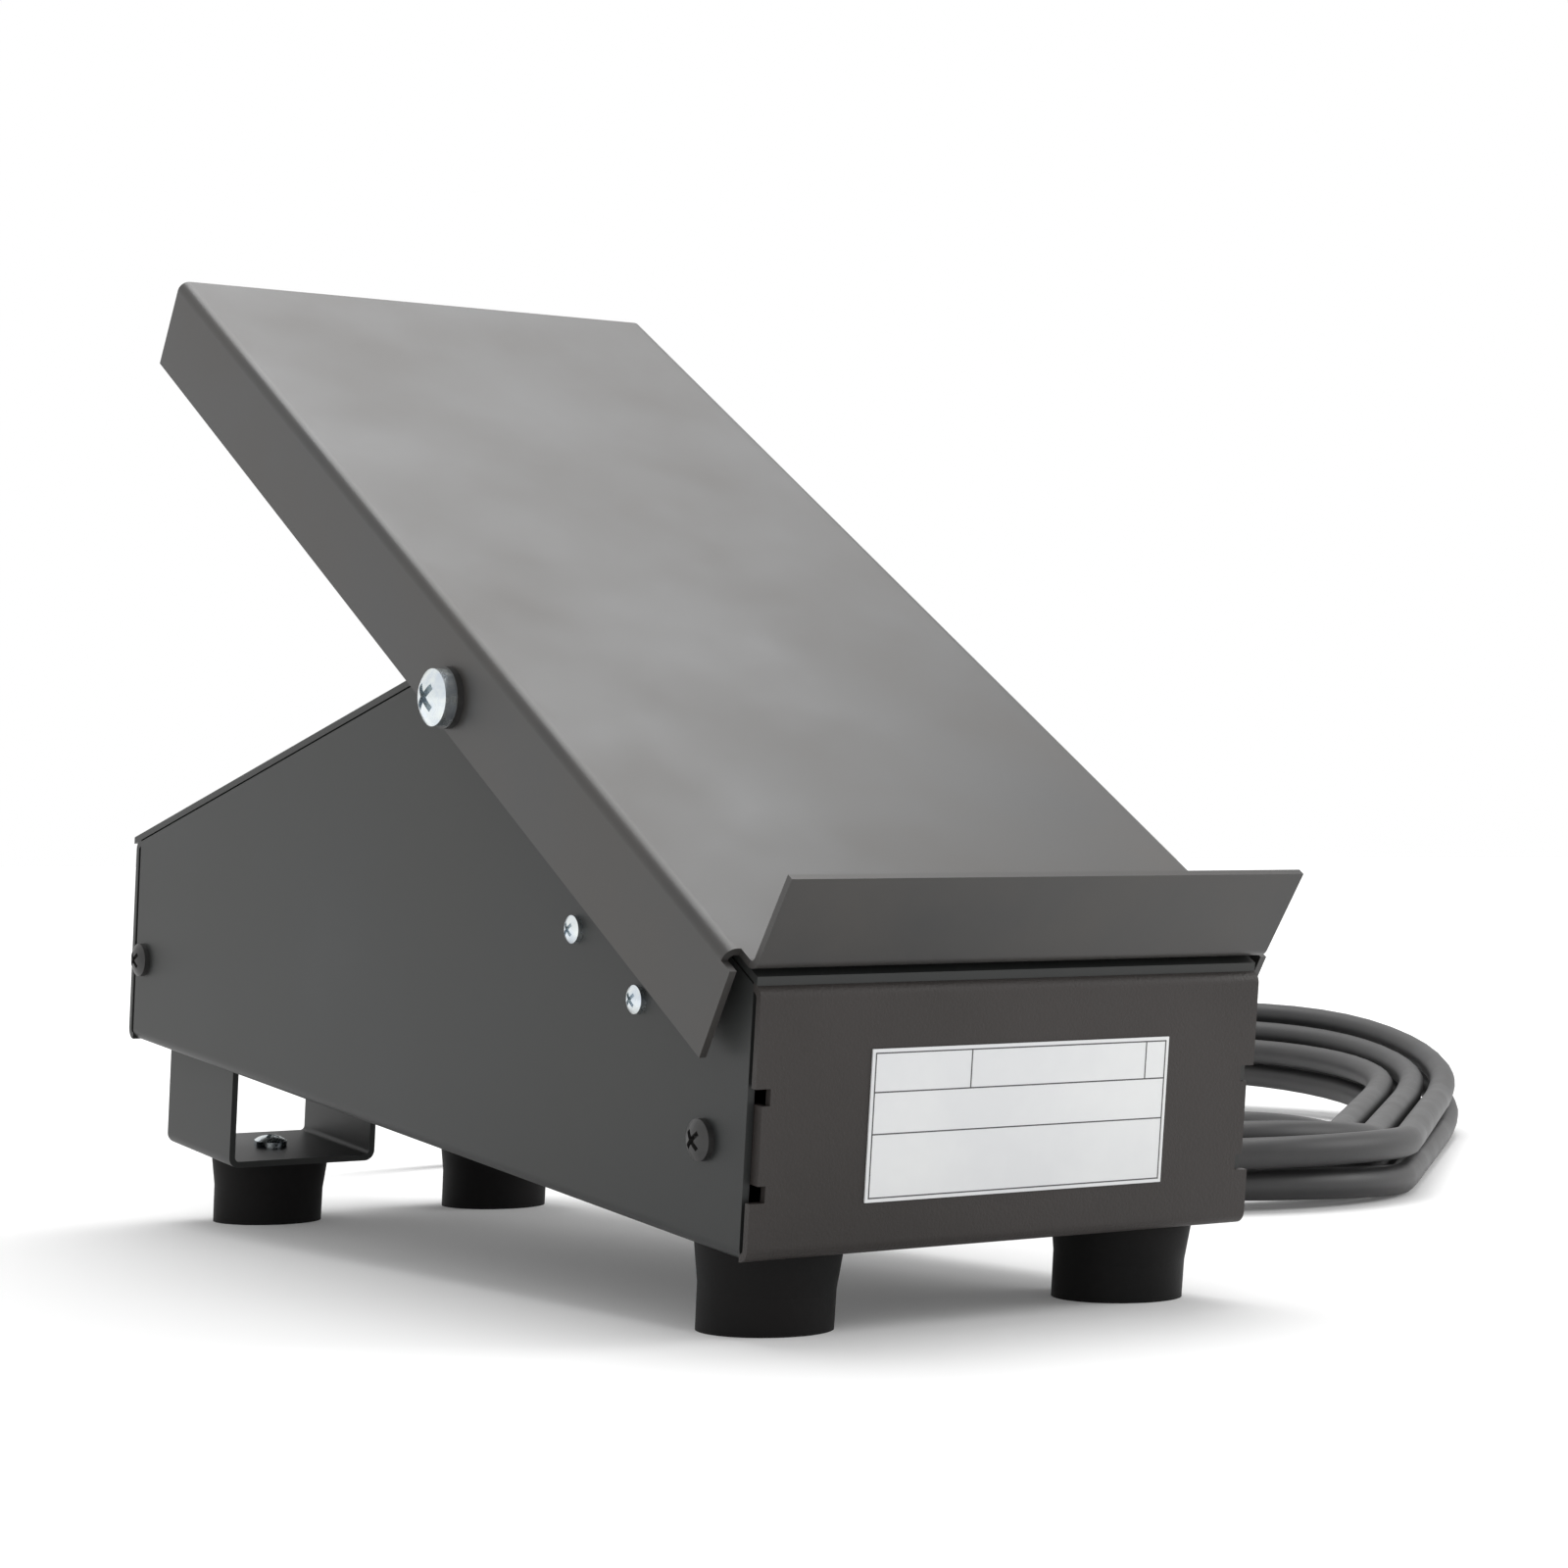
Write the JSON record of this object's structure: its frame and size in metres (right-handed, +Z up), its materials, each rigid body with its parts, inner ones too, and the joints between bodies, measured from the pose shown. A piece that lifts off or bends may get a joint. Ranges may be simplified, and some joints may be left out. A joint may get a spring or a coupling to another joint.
{
  "type": "welding foot pedal",
  "caption": "Foot pedal for remote control of welding current: a tilting sheet treadle with a heel lip over a folded steel housing on rubber feet, with a coiled cable.",
  "frame": {"origin": "middle of the pedal's bounding box, without cable and plug, on the floor under the feet", "axes": "+X to the right seen from the heel, +Y from heel to toe, +Z up"},
  "size_m": [0.4946, 0.5171, 0.2275],
  "materials": {
    "body_paint": "satin powder coat with a fine grain",
    "treadle_paint": "smooth satin powder coat with cloudy wear",
    "zinc": "bright zinc plate",
    "black_metal": "black oxide",
    "rubber": "matte moulded rubber",
    "cable": "matte cable jacket",
    "black_plastic": "moulded",
    "nylon": "natural nylon",
    "brass": "machined",
    "label": "blank printed film"
  },
  "bodies": {
    "housing": {"base_tray": "body_paint", "heel_panel": "body_paint", "toe_panel": "body_paint", "rear_left_bracket": "body_paint", "rear_right_bracket": "body_paint", "sensor_bracket": "body_paint", "switch_bracket": "body_paint", "roof_cover": "body_paint", "label_plate": "label", "side_nuts": "zinc", "foot_screws": "zinc", "foot_nuts": "zinc", "sensor_screws": "zinc", "potentiometer_nut": "zinc", "switch_screws": "zinc", "spring_anchor": "zinc", "return_spring": "zinc", "plug_body": "zinc", "side_screws": "black_metal", "front_left_foot": "rubber", "front_right_foot": "rubber", "rear_left_foot": "rubber", "rear_right_foot": "rubber", "rest_pads": "rubber", "bump_pads": "rubber", "left_bush": "nylon", "right_bush": "nylon", "potentiometer_body": "black_plastic", "switch_case": "black_plastic", "cable_gland": "black_plastic", "gland_nut": "black_plastic", "plug_boot": "black_plastic", "plug_pins": "brass", "cable_lead": "cable", "cable_coil": "cable", "cable_tail": "cable", "sensor_wires": "cable", "switch_wires": "cable"},
    "treadle_body": {"treadle": "treadle_paint", "pivot_screws": "zinc", "pivot_washers": "black_metal", "shaft_spacers": "nylon", "pivot_shaft": "zinc", "sector_gear": "zinc", "spring_arm": "zinc", "switch_cam": "nylon"},
    "sensor_body": {"sensor_shaft": "zinc", "pinion_gear": "brass"},
    "lever_body": {"switch_lever": "zinc"},
    "plunger_body": {"switch_plunger": "nylon"},
    "ring_body": {"plug_ring": "black_metal"}
  },
  "joints": [
    {"name": "treadle_hinge", "type": "hinge", "parent": "housing", "child": "treadle_body", "pos_m": [0, -0.02674, 0.12285], "axis": [1, 0, 0], "range_deg": [-40, 0], "stiffness_Nm_per_rad": 2, "springref_deg": 28.65, "deforming": ["return_spring"]},
    {"name": "sensor_turn", "type": "hinge", "parent": "housing", "child": "sensor_body", "pos_m": [0, -0.03846, 0.07527], "axis": [1, 0, 0], "range_deg": [0, 240]},
    {"name": "lever_hinge", "type": "hinge", "parent": "housing", "child": "lever_body", "pos_m": [0.035, -0.03644, 0.10088], "axis": [1, 0, 0], "range_deg": [0, 8]},
    {"name": "plunger_slide", "type": "slide", "parent": "housing", "child": "plunger_body", "axis": [0, -0.1074, 0.9942], "range_m": [0, 0.0006]},
    {"name": "ring_turn", "type": "hinge", "parent": "housing", "child": "ring_body", "pos_m": [0.112, 0.205, 0.0125], "axis": [0, 1, 0], "continuous": true}
  ],
  "couplings": [
    {"joint": "sensor_turn", "follows": "treadle_hinge", "ratio": -6},
    {"joint": "lever_hinge", "follows": "treadle_hinge", "ratio": -0.2},
    {"joint": "plunger_slide", "follows": "treadle_hinge", "m_per_rad": -0.000859}
  ]
}
